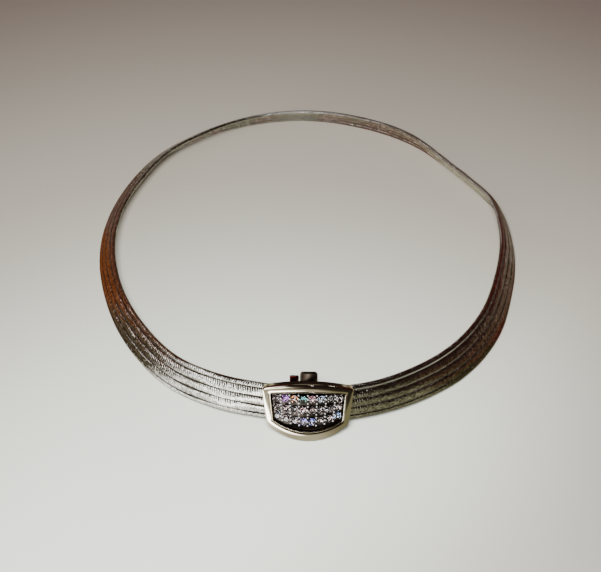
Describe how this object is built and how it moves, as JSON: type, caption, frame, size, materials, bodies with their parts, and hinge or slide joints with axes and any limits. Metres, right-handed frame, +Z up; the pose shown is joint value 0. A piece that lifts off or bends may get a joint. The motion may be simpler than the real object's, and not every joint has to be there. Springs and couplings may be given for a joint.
{
  "type": "choker necklace",
  "caption": "Cone-shaped choker of flat chain strips lying side by side, closed in front by a shield-shaped plaque of clear crystals with a hidden box clasp.",
  "frame": {"origin": "middle of the object's box, on the surface that the necklace rests on", "axes": "+Z up from the resting surface, +Y from the plaque to the back of the loop, +X to the right seen from the plaque's side"},
  "size_m": [0.1354, 0.144, 0.0182],
  "materials": {
    "chain_silver": "silver-tone flat snake chain, polished links",
    "plaque_silver": "mirror-polished silver tone",
    "setting_silver": "satin silver tone",
    "crystal_clear": "clear faceted crystal",
    "clasp_silver": "polished silver tone"
  },
  "bodies": {
    "root": {"strip_1_top": "chain_silver", "strip_2_upper": "chain_silver", "strip_3_middle": "chain_silver", "strip_4_lower": "chain_silver", "strip_5_bottom": "chain_silver", "crystal_01": "crystal_clear", "crystal_02": "crystal_clear", "crystal_03": "crystal_clear", "crystal_04": "crystal_clear", "crystal_05": "crystal_clear", "crystal_06": "crystal_clear", "crystal_07": "crystal_clear", "crystal_08": "crystal_clear", "crystal_09": "crystal_clear", "crystal_10": "crystal_clear", "crystal_11": "crystal_clear", "crystal_12": "crystal_clear", "crystal_13": "crystal_clear", "crystal_14": "crystal_clear", "crystal_15": "crystal_clear", "crystal_16": "crystal_clear", "crystal_17": "crystal_clear", "crystal_18": "crystal_clear", "crystal_19": "crystal_clear", "crystal_20": "crystal_clear", "crystal_21": "crystal_clear", "crystal_22": "crystal_clear", "crystal_23": "crystal_clear", "crystal_24": "crystal_clear", "plaque_frame": "plaque_silver", "setting_plate": "setting_silver", "clasp_box": "clasp_silver", "clasp_tongue": "clasp_silver", "catch_stop": "clasp_silver", "end_cap_left": "clasp_silver", "end_cap_right": "clasp_silver"}
  },
  "joints": []
}
